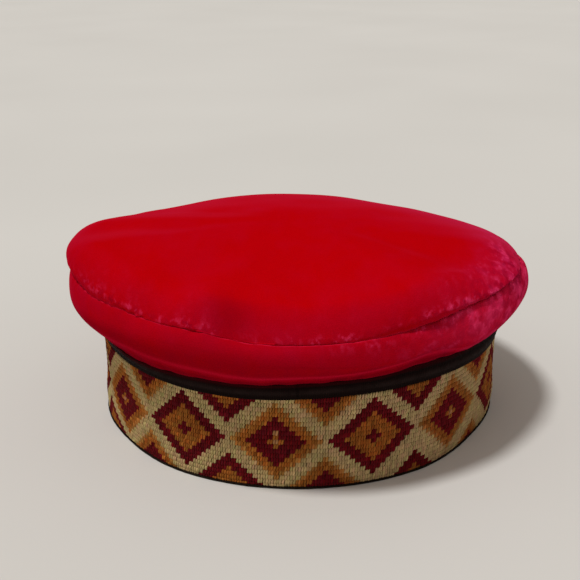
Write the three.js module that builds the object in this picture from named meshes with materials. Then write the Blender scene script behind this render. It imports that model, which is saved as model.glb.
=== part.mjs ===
// Round soft velvet cap standing on its band.
// Units are millimetres, +Z up, the wearer's front faces -Y. The cap stands on the flat underside of
// the edge binding at z = 0.
//
// Construction, from the bottom up:
//   edge_binding  narrow strip folded round the lower edge of the band
//   band          stiff upright band
//   ribbon_trim   ribbon laid over the top of the band, with a raised rib along its middle
//   side_panel    velvet strip, sewn to the band's top edge, rolls outward and in again to the seam
//   top_panel     domed round top, sewn to the side panel along a sunk seam
import * as THREE from 'three';

// ---- driving dimensions -------------------------------------------------------------------------
const SEG = 64;              // steps round the cap
const WALL = 2.0;            // velvet with its backing
const BAND_WALL = 2.0;       // stiffened band
const BAND_R_BOTTOM = 92.0;  // outer radius of the band at its lower edge
const BAND_R_TRIM = 93.0;    // outer radius of the band where the ribbon starts
const TRIM_Z = 40.8;         // lower edge of the ribbon, on average
const BAND_R_TOP = 93.3;     // outer radius of the band under the crown
const GAP = 0.35;            // clearance between neighbouring pieces
const RIBBON_T = 0.9;        // thickness of the ribbon's flat edges
const RIBBON_RIB = 1.5;      // thickness at its middle rib
const BIND_H = 1.5;          // height of the binding on the outside
const BIND_H_IN = 3.4;       // height of the binding on the inside
const BIND_T = 0.9;          // thickness of the binding
const HEM_R_IN = 91.7;       // inner end of the crown's hem, over the band's top edge
const HEM_R = 94.2;          // where the side panel leaves the band
const ALLOWANCE = 3.5;       // seam allowance turned in at the crown's seam
const SEAM_GAP = 0.35;       // clearance between the two panels at the seam
const DOME_Z = 88.0;         // height of the middle of the top
const SHOULDER = 14.0;       // how far in from the rim the top is still rounding over

// The crown, one row for each direction round it. az: degrees from +X, counter-clockwise;
// hemZ: height of the hem; lipZ: how low the roll hangs as it leaves the hem; belly: the widest line of
// the side panel; seam: the sunk seam; rim: the widest line of the top panel above the seam;
// rise: how far the top's rounded shoulder stands above that line; full: fullness of the roll under the
// seam (smaller is squarer); lean: how far the top already leans in where its shoulder starts, in radians.
const CROWN = [
  { az: -190, hemZ: 47.9, lipZ: 50.1, bellyR: 106.5, bellyZ: 61.0, seamR: 103.6, seamZ: 71.2, rimR: 107.0, rimZ: 76.2, rise: 5.8, full: 0.85, lean: 0.00 },
  { az: -175, hemZ: 46.4, lipZ: 49.4, bellyR: 106.4, bellyZ: 61.6, seamR: 103.4, seamZ: 72.0, rimR: 107.1, rimZ: 76.8, rise: 6.2, full: 0.95, lean: 0.06 },
  { az: -160, hemZ: 46.5, lipZ: 50.6, bellyR: 105.7, bellyZ: 62.8, seamR: 102.6, seamZ: 71.8, rimR: 104.9, rimZ: 75.9, rise: 11.2, full: 1.02, lean: 0.22 },
  { az: -148, hemZ: 46.9, lipZ: 53.5, bellyR: 104.3, bellyZ: 63.0, seamR: 102.4, seamZ: 70.6, rimR: 103.0, rimZ: 73.3, rise: 12.2, full: 1.10, lean: 0.18 },
  { az: -136, hemZ: 46.4, lipZ: 55.1, bellyR: 103.6, bellyZ: 64.3, seamR: 101.6, seamZ: 71.3, rimR: 102.2, rimZ: 72.9, rise: 10.9, full: 1.15, lean: 0.06 },
  { az: -124, hemZ: 46.7, lipZ: 54.4, bellyR: 104.7, bellyZ: 65.0, seamR: 101.3, seamZ: 70.9, rimR: 101.9, rimZ: 72.5, rise: 6.8, full: 1.15, lean: 0.32 },
  { az: -112, hemZ: 47.0, lipZ: 53.4, bellyR: 104.5, bellyZ: 64.8, seamR: 100.9, seamZ: 70.2, rimR: 101.5, rimZ: 71.8, rise: 11.0, full: 1.11, lean: 0.53 },
  { az: -101, hemZ: 47.1, lipZ: 52.4, bellyR: 104.7, bellyZ: 62.8, seamR: 100.4, seamZ: 67.6, rimR: 101.0, rimZ: 69.2, rise: 9.8, full: 0.95, lean: 0.84 },
  { az: -90, hemZ: 48.3, lipZ: 54.2, bellyR: 105.0, bellyZ: 61.3, seamR: 100.9, seamZ: 67.4, rimR: 101.5, rimZ: 69.0, rise: 7.8, full: 0.88, lean: 0.45 },
  { az: -79, hemZ: 48.7, lipZ: 55.3, bellyR: 105.2, bellyZ: 59.6, seamR: 100.9, seamZ: 67.7, rimR: 101.5, rimZ: 69.3, rise: 9.1, full: 0.90, lean: 0.38 },
  { az: -68, hemZ: 49.0, lipZ: 57.2, bellyR: 104.2, bellyZ: 59.6, seamR: 100.0, seamZ: 68.7, rimR: 100.6, rimZ: 70.6, rise: 10.5, full: 1.13, lean: 0.07 },
  { az: -57, hemZ: 50.5, lipZ: 58.7, bellyR: 103.8, bellyZ: 62.2, seamR: 99.3, seamZ: 69.9, rimR: 102.8, rimZ: 74.0, rise: 10.4, full: 1.00, lean: 0.53 },
  { az: -46, hemZ: 49.5, lipZ: 53.7, bellyR: 103.9, bellyZ: 61.1, seamR: 99.3, seamZ: 71.7, rimR: 101.5, rimZ: 74.1, rise: 8.3, full: 1.01, lean: 0.59 },
  { az: -35, hemZ: 49.6, lipZ: 52.8, bellyR: 103.6, bellyZ: 62.6, seamR: 99.7, seamZ: 72.0, rimR: 102.0, rimZ: 73.6, rise: 4.1, full: 0.98, lean: 0.31 },
  { az: -23, hemZ: 49.8, lipZ: 52.7, bellyR: 104.4, bellyZ: 63.0, seamR: 100.0, seamZ: 72.0, rimR: 102.9, rimZ: 74.2, rise: 2.7, full: 0.96, lean: 0.19 },
  { az: -10, hemZ: 49.9, lipZ: 52.2, bellyR: 106.6, bellyZ: 62.8, seamR: 102.0, seamZ: 71.8, rimR: 102.6, rimZ: 73.4, rise: 3.1, full: 1.08, lean: 0.22 },
  { az: 5, hemZ: 49.7, lipZ: 51.7, bellyR: 107.0, bellyZ: 62.1, seamR: 102.3, seamZ: 69.0, rimR: 102.9, rimZ: 70.6, rise: 3.2, full: 1.06, lean: 0.14 },
  { az: 20, hemZ: 49.5, lipZ: 51.4, bellyR: 106.0, bellyZ: 61.1, seamR: 101.5, seamZ: 65.4, rimR: 103.8, rimZ: 69.8, rise: 1.0, full: 0.93, lean: 0.00 },
  { az: 40, hemZ: 49.3, lipZ: 51.0, bellyR: 105.7, bellyZ: 60.4, seamR: 101.0, seamZ: 63.8, rimR: 103.7, rimZ: 68.6, rise: 0.8, full: 0.84, lean: 0.00 },
  { az: 60, hemZ: 49.1, lipZ: 50.7, bellyR: 106.0, bellyZ: 60.3, seamR: 101.3, seamZ: 64.5, rimR: 103.0, rimZ: 67.9, rise: 1.8, full: 0.82, lean: 0.00 },
  { az: 85, hemZ: 48.9, lipZ: 50.4, bellyR: 106.1, bellyZ: 60.2, seamR: 102.0, seamZ: 65.4, rimR: 103.4, rimZ: 69.0, rise: 3.2, full: 0.81, lean: 0.01 },
  { az: 110, hemZ: 48.7, lipZ: 50.2, bellyR: 105.9, bellyZ: 60.1, seamR: 102.4, seamZ: 65.3, rimR: 104.3, rimZ: 70.0, rise: 3.5, full: 0.81, lean: 0.01 },
  { az: 130, hemZ: 48.7, lipZ: 50.0, bellyR: 105.9, bellyZ: 60.1, seamR: 102.6, seamZ: 64.6, rimR: 104.6, rimZ: 69.6, rise: 3.3, full: 0.82, lean: 0.05 },
  { az: 150, hemZ: 48.7, lipZ: 50.0, bellyR: 106.1, bellyZ: 60.5, seamR: 103.2, seamZ: 66.2, rimR: 105.4, rimZ: 71.2, rise: 4.2, full: 0.82, lean: 0.00 },
  { az: 160, hemZ: 48.6, lipZ: 50.1, bellyR: 106.3, bellyZ: 60.9, seamR: 103.7, seamZ: 68.6, rimR: 106.3, rimZ: 73.7, rise: 5.2, full: 0.82, lean: 0.00 },
];

// Lower edge of the ribbon, sewn on by eye: direction in degrees and height. It climbs towards -X, where
// the crown hangs over most of the ribbon.
const TRIM = [
  [-190, 45.2], [-175, 44.6], [-165, 43.8], [-152, 42.7], [-141, 42.0], [-131, 41.1], [-118, 40.5], [-100, 40.4], [-89, 41.3],
  [-80, 41.7], [-66, 41.7], [-52, 41.6], [-42, 41.0], [-26, 40.2], [-10, 40.2], [20, 40.7], [60, 41.2], [110, 41.0], [150, 42.4],
];

// Shallow dents in the top: middle (x, y), direction of the long way in degrees, half length,
// half width and depth.
const DENTS = [
  { x: -25, y: -90, dir: 100, long: 16, wide: 8, depth: 1.6 },
  { x: -14, y: -40, dir: 78, long: 40, wide: 7, depth: 0.7 },
  { x: 52, y: -62, dir: 40, long: 26, wide: 8, depth: 0.6 },
];

// ---- smooth periodic interpolation of the crown table ---------------------------------------------
function crownAt(azDeg) {
  const n = CROWN.length;
  let a = azDeg;
  while (a < CROWN[0].az) a += 360;
  while (a >= CROWN[0].az + 360) a -= 360;
  const azOf = (i) => CROWN[((i % n) + n) % n].az + 360 * Math.floor(i / n);
  let i = n - 1;
  while (azOf(i) > a) i--;
  const a0 = azOf(i), a1 = azOf(i + 1);
  const t = (a - a0) / (a1 - a0);
  const out = {};
  for (const key of Object.keys(CROWN[0])) {
    if (key === 'az') continue;
    const v = (j) => CROWN[((j % n) + n) % n][key];
    const slope = (j) => (v(j + 1) - v(j - 1)) / (azOf(j + 1) - azOf(j - 1));
    const m0 = slope(i) * (a1 - a0), m1 = slope(i + 1) * (a1 - a0);
    const t2 = t * t, t3 = t2 * t;
    out[key] = (2 * t3 - 3 * t2 + 1) * v(i) + (t3 - 2 * t2 + t) * m0 + (-2 * t3 + 3 * t2) * v(i + 1) + (t3 - t2) * m1;
  }
  return out;
}

// How far the soft band stands in from a true ring (minus: out). It sags in under the crown towards -X
// and along its foot at the front's two sides, and bellies out low at both limbs.
function hump(azDeg, centre, half) {
  const d = Math.abs(((((azDeg - centre + 180) % 360) + 360) % 360) - 180) / half;
  return d < 1 ? Math.cos((d * Math.PI) / 2) ** 2 : 0;
}
function fade(a, b, x) {
  const t = Math.min(Math.max((x - a) / (b - a), 0), 1);
  return 1 - t * t * (3 - 2 * t);
}
function slack(az, z) {
  const high = 1.1 * hump(az, -176, 46) * (1 - fade(10, 28, z)) * fade(47, 58, z);
  const foot = (2.0 * hump(az, -32, 26) + 1.3 * hump(az, -148, 26)) * fade(0, 15, z);
  const belly = 0.5 * hump(az, -176, 40) * fade(8, 20, z) + 1.0 * hump(az, -8, 34) * Math.exp(-(((z - 9) / 8) ** 2));
  return high + foot - belly;
}

// quarter of a rounded curve from (r0, z0) to (r1, z1): leaving level and arriving upright, or the other way
function quarter(r0, z0, r1, z1, steps, levelFirst, full) {
  const pts = [];
  for (let k = 0; k <= steps; k++) {
    const a = (Math.PI / 2) * (k / steps);
    const c = Math.pow(Math.max(Math.cos(a), 0), full), s = Math.pow(Math.max(Math.sin(a), 0), full);
    if (levelFirst) pts.push([r0 + (r1 - r0) * s, z1 + (z0 - z1) * c]);
    else pts.push([r1 + (r0 - r1) * c, z0 + (z1 - z0) * s]);
  }
  return pts;
}

function bezier(p0, p1, p2, p3, steps) {
  const pts = [];
  for (let k = 0; k <= steps; k++) {
    const t = k / steps, u = 1 - t;
    const f = (i) => u * u * u * p0[i] + 3 * u * u * t * p1[i] + 3 * u * t * t * p2[i] + t * t * t * p3[i];
    pts.push([f(0), f(1)]);
  }
  return pts;
}

// Section of the side panel's skin, from the hem to the seam. inset moves it to the inner skin.
function sideSkin(c, inset, steps) {
  const hz = c.hemZ + inset, br = c.bellyR - inset, lz = c.lipZ + inset;
  const reach = HEM_R + 0.75 * (br - HEM_R);
  const lower = bezier([HEM_R, hz], [reach, lz], [br, c.bellyZ - 0.5 * (c.bellyZ - lz)], [br, c.bellyZ], steps[0]);
  const upper = quarter(br, c.bellyZ, c.seamR - 0.6 * inset, c.seamZ - inset, steps[1], false, c.full);
  return [[HEM_R_IN, hz], ...lower, ...upper.slice(1), [c.seamR - ALLOWANCE, c.seamZ - inset]];
}

function sidePanelSection(az) {
  const c = crownAt(az);
  return [...sideSkin(c, 0, [5, 4]), ...sideSkin(c, WALL, [4, 3]).reverse()];
}

function dentDepth(x, y) {
  let d = 0;
  for (const q of DENTS) {
    const a = (q.dir * Math.PI) / 180, dx = x - q.x, dy = y - q.y;
    const u = (dx * Math.cos(a) + dy * Math.sin(a)) / q.long;
    const v = (-dx * Math.sin(a) + dy * Math.cos(a)) / q.wide;
    d += q.depth * Math.exp(-(u * u + v * v));
  }
  return d;
}

// Section of the top panel's skin, from the seam to the middle of the dome.
function topSkin(c, az, inset, steps) {
  const zs = c.seamZ + SEAM_GAP + inset, rr = c.rimR - inset, rz = Math.max(c.rimZ, zs + 0.6);
  const pts = [[c.seamR - ALLOWANCE, zs]];
  pts.push(...quarter(Math.min(c.seamR - 0.5 * inset, rr - 0.1), zs, rr, rz, steps[0], true, 1));
  const rise = c.rimZ + c.rise - inset - rz, apex = DOME_Z - inset, a = (az * Math.PI) / 180;
  const half = steps[1] / 2, cl = Math.cos(c.lean), sl = Math.sin(c.lean);
  for (let k = 1; k <= steps[1]; k++) {
    let x = SHOULDER + ((rr - SHOULDER) * (k - half)) / half, lift = 1;
    if (k < half) {
      const b = c.lean + (Math.PI / 2 - c.lean) * (k / half);
      x = (SHOULDER * (cl - Math.cos(b))) / cl;
      lift = (Math.sin(b) - sl) / (1 - sl);
    }
    const rho = 1 - x / rr, r = rr * rho;
    let z = rz + rise * lift + (apex - rz - rise) * (1 - rho * rho);
    z -= dentDepth(r * Math.cos(a), r * Math.sin(a));
    pts.push([r, z]);
  }
  return pts;
}

function topPanelSection(az) {
  const c = crownAt(az);
  return [...topSkin(c, az, 0, [3, 10]), ...topSkin(c, az, WALL, [3, 8]).reverse()];
}

const bandR = (z, top) =>
  z <= TRIM_Z
    ? BAND_R_BOTTOM + ((BAND_R_TRIM - BAND_R_BOTTOM) * z) / TRIM_Z
    : BAND_R_TRIM + ((BAND_R_TOP - BAND_R_TRIM) * (z - TRIM_Z)) / (top - TRIM_Z);

function bandSection(az) {
  const top = crownAt(az).hemZ - GAP, foot = BIND_T + GAP;
  const outer = [foot, TRIM_Z * 0.5, TRIM_Z, top].map((z) => [bandR(z, top), z]);
  const inner = [top, TRIM_Z * 0.5, foot].map((z) => [bandR(z, top) - BAND_WALL, z]);
  return [...outer, ...inner];
}

function trimAt(azDeg) {
  let a = azDeg;
  while (a < TRIM[0][0]) a += 360;
  while (a >= TRIM[0][0] + 360) a -= 360;
  const rows = [...TRIM, [TRIM[0][0] + 360, TRIM[0][1]]];
  let i = 0;
  while (rows[i + 1][0] < a) i++;
  const [a0, z0] = rows[i], [a1, z1] = rows[i + 1];
  return z0 + ((z1 - z0) * (a - a0)) / (a1 - a0);
}

function ribbonSection(az) {
  const low = trimAt(az);
  const top = crownAt(az).hemZ - GAP, h = top - low;
  const at = (u, t) => [bandR(low + u * h, top) + GAP + t, low + u * h];
  return [at(0, 0), at(0, RIBBON_T), at(0.34, RIBBON_T), at(0.45, RIBBON_RIB), at(0.62, RIBBON_RIB), at(0.74, RIBBON_T), at(1, RIBBON_T), at(1, 0)];
}

// The binding is a channel folded round the band's lower edge, flat underneath.
function bindingSection() {
  const ro = BAND_R_BOTTOM + GAP, ri = BAND_R_BOTTOM - BAND_WALL - GAP;
  const o = ro + BIND_T, i = ri - BIND_T;
  return [
    [i + 0.45, 0], [o - 0.45, 0], [o, 0.5], [o + 0.03, BIND_H - 0.4], [ro + 0.45, BIND_H], [ro + 0.05, BIND_H], [ro, BIND_T],
    [ri, BIND_T], [ri, BIND_H_IN], [i + 0.3, BIND_H_IN], [i, BIND_H_IN - 0.4], [i, 0.5],
  ];
}

// ---- closed meshes from sections --------------------------------------------------------------
// ringMesh: the section is a closed loop of [r, z]; domeMesh: the section runs from the axis
// (first... last on the axis too), so both ends close in one point.
function indexed(positions, index) {
  const g = new THREE.BufferGeometry();
  g.setAttribute('position', new THREE.Float32BufferAttribute(positions, 3));
  g.setIndex(index);
  g.computeVertexNormals();
  return g;
}

function ringMesh(section) {
  const pos = [], idx = [];
  let n = 0;
  for (let s = 0; s < SEG; s++) {
    const az = (360 * s) / SEG - 90, a = (az * Math.PI) / 180;
    const loop = section(az);
    n = loop.length;
    for (const [r, z] of loop) {
      const q = r - slack(az, z);
      pos.push(q * Math.cos(a), q * Math.sin(a), z);
    }
  }
  for (let s = 0; s < SEG; s++) {
    const t = (s + 1) % SEG;
    for (let k = 0; k < n; k++) {
      const l = (k + 1) % n;
      const p = s * n + k, q = s * n + l, u = t * n + k, v = t * n + l;
      idx.push(p, u, v, p, v, q);
    }
  }
  return indexed(pos, idx);
}

function domeMesh(section, outerCount) {
  // the loop goes seam allowance -> outer skin -> axis, then axis -> inner skin -> allowance
  const pos = [], idx = [];
  let n = 0, outerZ = 0, innerZ = 0;
  const rows = [];
  for (let s = 0; s < SEG; s++) {
    const az = (360 * s) / SEG - 90;
    const loop = section(az);
    outerZ = loop[outerCount - 1][1];
    innerZ = loop[outerCount][1];
    rows.push([az, loop.filter((_, k) => k !== outerCount - 1 && k !== outerCount)]);
    n = loop.length - 2;
  }
  for (const [az, loop] of rows) {
    const a = (az * Math.PI) / 180;
    for (const [r, z] of loop) {
      const q = r - slack(az, z);
      pos.push(q * Math.cos(a), q * Math.sin(a), z);
    }
  }
  const po = SEG * n, pi = po + 1;
  pos.push(0, 0, outerZ, 0, 0, innerZ);
  const split = outerCount - 2; // last outer point before the axis
  for (let s = 0; s < SEG; s++) {
    const t = (s + 1) % SEG;
    for (let k = 0; k < n; k++) {
      const l = (k + 1) % n;
      const p = s * n + k, q = s * n + l, u = t * n + k, v = t * n + l;
      if (k === split) idx.push(p, u, po, pi, v, q);
      else idx.push(p, u, v, p, v, q);
    }
  }
  return indexed(pos, idx);
}

// ---- the cap --------------------------------------------------------------------------------------
const cloth = (color, roughness) => new THREE.MeshStandardMaterial({ color, roughness, metalness: 0 });
const velvetRed = cloth(0xb8051a, 0.85);
const ribbonBlack = cloth(0x1c1a17, 0.6);
const stitchCream = cloth(0x9a8560, 0.9);
const bindingBrown = cloth(0x231510, 0.8);

const cap = new THREE.Group();
const add = (name, geometry, material) => {
  const mesh = new THREE.Mesh(geometry, material);
  mesh.name = name;
  cap.add(mesh);
};

add('edge_binding', ringMesh(bindingSection), bindingBrown);
add('band', ringMesh(bandSection), stitchCream);
add('ribbon_trim', ringMesh(ribbonSection), ribbonBlack);
add('side_panel', ringMesh(sidePanelSection), velvetRed);
add('top_panel', domeMesh(topPanelSection, 1 + 4 + 10), velvetRed);

// the origin is the middle of the footprint's bounding box, on the surface the cap stands on
cap.updateMatrixWorld(true);
const box = new THREE.Box3().setFromObject(cap);
cap.position.set(-(box.min.x + box.max.x) / 2, -(box.min.y + box.max.y) / 2, -box.min.z);

export default cap;
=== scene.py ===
import math

import bpy
import numpy as np
from mathutils import Matrix, Vector


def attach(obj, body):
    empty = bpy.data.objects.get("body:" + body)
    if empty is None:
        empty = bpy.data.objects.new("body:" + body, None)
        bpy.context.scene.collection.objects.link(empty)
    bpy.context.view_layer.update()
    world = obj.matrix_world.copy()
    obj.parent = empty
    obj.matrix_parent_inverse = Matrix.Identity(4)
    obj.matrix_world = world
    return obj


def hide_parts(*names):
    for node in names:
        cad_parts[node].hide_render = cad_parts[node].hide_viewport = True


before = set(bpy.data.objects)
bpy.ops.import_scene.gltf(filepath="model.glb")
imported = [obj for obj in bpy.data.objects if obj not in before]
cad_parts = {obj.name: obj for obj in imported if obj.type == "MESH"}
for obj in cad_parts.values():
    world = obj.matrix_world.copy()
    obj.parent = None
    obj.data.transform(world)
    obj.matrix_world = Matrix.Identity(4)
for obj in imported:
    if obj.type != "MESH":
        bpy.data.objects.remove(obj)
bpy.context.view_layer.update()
scene = bpy.context.scene

# ---------------------------------------------------------------- the cap's own axis and tables, in millimetres
AX, AY = 0.1106, -0.5382                   # the cap's upright axis in the frame, mm

HEM_R = 94.2
HEM_IN = 91.7
ALLOWANCE = 3.5
SEAM_GAP = 0.06
DOME_Z = 88.0
BAND_TOP = 50.0
# azimuth and height of the ribbon's hand-laid lower edge
TRIM = np.array([
    [-190, 45.2], [-175, 44.6], [-165, 43.8], [-152, 42.7], [-141, 42.0], [-131, 41.1], [-118, 40.5], [-100, 40.4], [-89, 41.3],
    [-80, 41.7], [-66, 41.7], [-52, 41.6], [-42, 41.0], [-26, 40.2], [-10, 40.2], [20, 40.7], [60, 41.2], [110, 41.0], [150, 42.4],
])

# azimuth, hem height, lip height, belly radius and height, seam radius and height, rim radius and height, shoulder rise,
# fullness of the roll under the seam (smaller is squarer) and how far the top leans in where it leaves the seam (radians)
CROWN = np.array([
    [-190, 47.9, 50.1, 106.5, 61.0, 103.6, 71.2, 107.0, 76.2, 5.8, 0.85, 0.00],
    [-175, 46.4, 49.4, 106.4, 61.6, 103.4, 72.0, 107.1, 76.8, 6.2, 0.95, 0.06],
    [-160, 46.5, 50.6, 105.7, 62.8, 102.6, 71.8, 104.9, 75.9, 11.2, 1.02, 0.22],
    [-148, 46.9, 53.5, 104.3, 63.0, 102.4, 70.6, 102.9, 73.3, 12.2, 1.10, 0.18],
    [-136, 46.4, 55.1, 103.6, 64.3, 101.6, 71.3, 101.7, 72.8, 11.0, 1.15, 0.06],
    [-124, 46.7, 54.4, 104.7, 65.0, 101.3, 70.9, 101.4, 71.3, 8.0, 1.15, 0.32],
    [-112, 47.0, 53.4, 104.5, 64.8, 100.9, 70.2, 101.3, 70.7, 12.1, 1.11, 0.53],
    [-101, 47.1, 52.4, 104.7, 62.8, 100.4, 67.6, 100.5, 68.0, 11.0, 0.95, 0.84],
    [-90, 48.3, 54.2, 105.0, 61.3, 100.9, 67.4, 101.2, 67.9, 8.9, 0.88, 0.45],
    [-79, 48.7, 55.3, 105.2, 59.6, 100.9, 67.7, 101.2, 68.2, 10.2, 0.90, 0.38],
    [-68, 49.0, 57.2, 104.2, 59.6, 100.0, 68.7, 100.6, 70.6, 10.5, 1.13, 0.07],
    [-57, 50.5, 58.7, 103.8, 62.2, 99.3, 69.9, 102.8, 74.0, 10.4, 1.00, 0.53],
    [-46, 49.5, 53.7, 103.9, 61.1, 99.3, 71.7, 101.5, 74.1, 8.3, 1.01, 0.59],
    [-35, 49.6, 52.8, 103.6, 62.6, 99.7, 72.0, 102.0, 73.6, 4.1, 0.98, 0.31],
    [-23, 49.8, 52.7, 104.4, 63.0, 100.0, 72.0, 102.9, 74.2, 2.7, 0.96, 0.19],
    [-10, 49.9, 52.2, 106.6, 62.8, 102.0, 71.8, 102.1, 72.3, 4.2, 1.08, 0.22],
    [5, 49.7, 51.7, 107.0, 62.1, 102.3, 69.0, 102.8, 70.6, 3.2, 1.06, 0.14],
    [20, 49.5, 51.4, 106.0, 61.1, 101.5, 65.4, 103.8, 69.8, 1.0, 0.93, 0.00],
    [40, 49.3, 51.0, 105.7, 60.4, 101.0, 63.8, 103.7, 68.6, 0.8, 0.84, 0.00],
    [60, 49.1, 50.7, 106.0, 60.3, 101.3, 64.5, 103.0, 67.9, 1.8, 0.82, 0.00],
    [85, 48.9, 50.4, 106.1, 60.2, 102.0, 65.4, 103.4, 69.0, 3.2, 0.81, 0.01],
    [110, 48.7, 50.2, 105.9, 60.1, 102.4, 65.3, 104.3, 70.0, 3.5, 0.81, 0.01],
    [130, 48.7, 50.0, 105.9, 60.1, 102.6, 64.6, 104.6, 69.6, 3.3, 0.82, 0.05],
    [150, 48.7, 50.0, 106.1, 60.5, 103.2, 66.2, 105.4, 71.2, 4.2, 0.82, 0.00],
    [160, 48.6, 50.1, 106.3, 60.9, 103.7, 68.6, 106.3, 73.7, 5.2, 0.82, 0.00],
])
SHOULDER = 14.0  # how far in from the rim the top is still rounding over
DENTS = [
    (-25, -90, 100, 16, 8, 1.6),
    (-14, -40, 78, 40, 7, 0.7),
    (52, -62, 40, 26, 8, 0.6),
]

rng = np.random.default_rng(20)


def crown_at(az):
    """The crown's table read at these azimuths, in degrees, as a periodic cubic Hermite curve: eleven arrays."""
    az = (np.asarray(az, float) + 190.0) % 360.0 - 190.0
    knots = CROWN[:, 0]
    n = len(knots)
    j = np.clip(np.searchsorted(knots, az, side="right") - 1, 0, n - 1)
    ext = np.concatenate([[knots[-1] - 360], knots, [knots[0] + 360, knots[1] + 360]])
    row = lambda i: CROWN[i % n, 1:]
    a0, a1 = ext[j + 1], ext[j + 2]
    am, ap = ext[j], np.where(j + 3 < len(ext), ext[np.minimum(j + 3, len(ext) - 1)], 0)
    h = (a1 - a0)[:, None]
    t = ((az - a0)[:, None]) / h
    v0, v1, vm, vp = row(j), row(j + 1), row(j - 1), row(j + 2)
    m0 = (v1 - vm) / (a1 - am)[:, None] * h
    m1 = (vp - v0) / (ap - a0)[:, None] * h
    v = (
        (2 * t**3 - 3 * t**2 + 1) * v0
        + (t**3 - 2 * t**2 + t) * m0
        + (3 * t**2 - 2 * t**3) * v1
        + (t**3 - t**2) * m1
    )
    return v.T


def trim_at(az):
    """Height of the ribbon's lower edge at these azimuths."""
    az = (np.asarray(az, float) + 190.0) % 360.0 - 190.0
    fine = np.arange(-190, 170, 1.0)
    rough = np.interp(fine, np.append(TRIM[:, 0], 170), np.append(TRIM[:, 1], TRIM[0, 1]))
    w = np.exp(-(((np.arange(360) + 180) % 360 - 180) / 5.0) ** 2)
    soft = np.real(np.fft.ifft(np.fft.fft(rough) * np.fft.fft(w))) / w.sum()
    return np.interp(az, np.append(fine, 170), np.append(soft, soft[0]))


def smooth(a, b, x):
    t = np.clip((np.asarray(x, float) - a) / (b - a), 0, 1)
    return t * t * (3 - 2 * t)


def turn(a):
    """An angle in degrees brought to -180..180."""
    return (np.asarray(a, float) + 180) % 360 - 180


def bump1(az, centre, half):
    """A smooth hump of height 1 round an azimuth, zero beyond half."""
    d = np.abs(turn(az - centre)) / half
    return np.where(d < 1, np.cos(np.minimum(d, 1) * np.pi / 2) ** 2, 0)


def ripple(az, lo_k, hi_k, seed, count=28):
    """A periodic uneven wave round the cap, about -1..1, of lo_k..hi_k waves in a turn."""
    r = np.random.default_rng(seed)
    ks = r.integers(lo_k, hi_k + 1, count)
    ph = r.uniform(0, 2 * np.pi, count)
    am = r.uniform(0.4, 1.0, count)
    a = np.radians(az)
    w = sum(m * np.sin(k * a + p) for k, p, m in zip(ks, ph, am))
    return w / np.sqrt((am**2).sum() / 2) / 1.6


def slack(az, z):
    """How far the soft band stands in from a true ring (minus: out), mm: it sags in at its foot in front and bellies out low at both sides."""
    left = 1.1 * bump1(az, -176, 46) * smooth(10, 28, z) * (1 - smooth(47, 58, z))
    belly = 0.5 * bump1(az, -176, 40) * (1 - smooth(8, 20, z)) + 1.0 * bump1(az, -8, 34) * np.exp(-(((z - 9) / 8) ** 2))
    low = (2.0 * bump1(az, -32, 26) + 1.3 * bump1(az, -148, 26)) * (1 - smooth(0, 15, z))
    return left + low - belly


def place(az, r, z):
    """Cap coordinates in millimetres to the frame's metres."""
    a = np.radians(az)
    r = r - slack(az, z)
    return np.stack([AX + r * np.cos(a), AY + r * np.sin(a), z + 0 * r], -1) * 0.001


# ---------------------------------------------------------------- meshes

def make_object(name, verts, faces, smooth_faces=True):
    mesh = bpy.data.meshes.new(name)
    if isinstance(faces, np.ndarray):
        n, k = faces.shape
        mesh.vertices.add(len(verts))
        mesh.vertices.foreach_set("co", np.ascontiguousarray(verts, np.float32).ravel())
        mesh.loops.add(n * k)
        mesh.loops.foreach_set("vertex_index", faces.astype(np.int32).ravel())
        mesh.polygons.add(n)
        mesh.polygons.foreach_set("loop_start", np.arange(0, n * k, k, dtype=np.int32))
        mesh.update(calc_edges=True)
    else:
        mesh.from_pydata([tuple(v) for v in verts], [], faces)
    mesh.validate()
    if smooth_faces:
        mesh.polygons.foreach_set("use_smooth", np.ones(len(mesh.polygons), bool))
    obj = bpy.data.objects.new(name, mesh)
    scene.collection.objects.link(obj)
    return obj


def attribute(obj, name, values, kind="FLOAT", domain="POINT"):
    a = obj.data.attributes.new(name, kind, domain)
    values = np.asarray(values, np.float32)
    if kind == "FLOAT":
        a.data.foreach_set("value", values.ravel())
    elif kind == "FLOAT_VECTOR":
        a.data.foreach_set("vector", values.ravel())
    else:
        a.data.foreach_set("color", values.ravel())


def strip_quads(rows, n, flip=False):
    """Quads of a grid of rows rings with n points each, closed round."""
    i = np.arange(rows - 1)[:, None] * n
    j = np.arange(n)[None, :]
    k = (j + 1) % n
    q = np.stack([i + j, i + k, i + n + k, i + n + j], -1).reshape(-1, 4)
    return q[:, ::-1] if flip else q


def normals_of(P):
    """Unit normals of a closed-round grid P[rows, n, 3], pointing away from the axis for a profile that rises."""
    da = np.roll(P, -1, 1) - np.roll(P, 1, 1)
    ds = np.gradient(P, axis=0)
    nrm = np.cross(da, ds)
    return nrm / np.maximum(np.linalg.norm(nrm, axis=-1, keepdims=True), 1e-12)


def tube_ring(name, az, profile_r, profile_z, closed=True):
    """A closed ring swept round the cap: profile arrays [points, azimuths], in order round the section."""
    P = place(az[None, :], profile_r, profile_z)
    m, n = P.shape[:2]
    q = strip_quads(m + 1, n)
    q = np.where(q >= m * n, q - m * n, q)
    return make_object(name, P.reshape(-1, 3), q), P


# ---------------------------------------------------------------- materials

def principled(name):
    mat = bpy.data.materials.new(name)
    mat.use_nodes = True
    nt = mat.node_tree
    return mat, nt, nt.nodes["Principled BSDF"]


def N(nt, kind, **inputs):
    node = nt.nodes.new(kind)
    for k, v in inputs.items():
        key = k.replace("_", " ")
        if key in node.inputs:
            node.inputs[key].default_value = v
        else:
            setattr(node, k, v)
    return node


def link(nt, a, b):
    nt.links.new(a, b)


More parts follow.
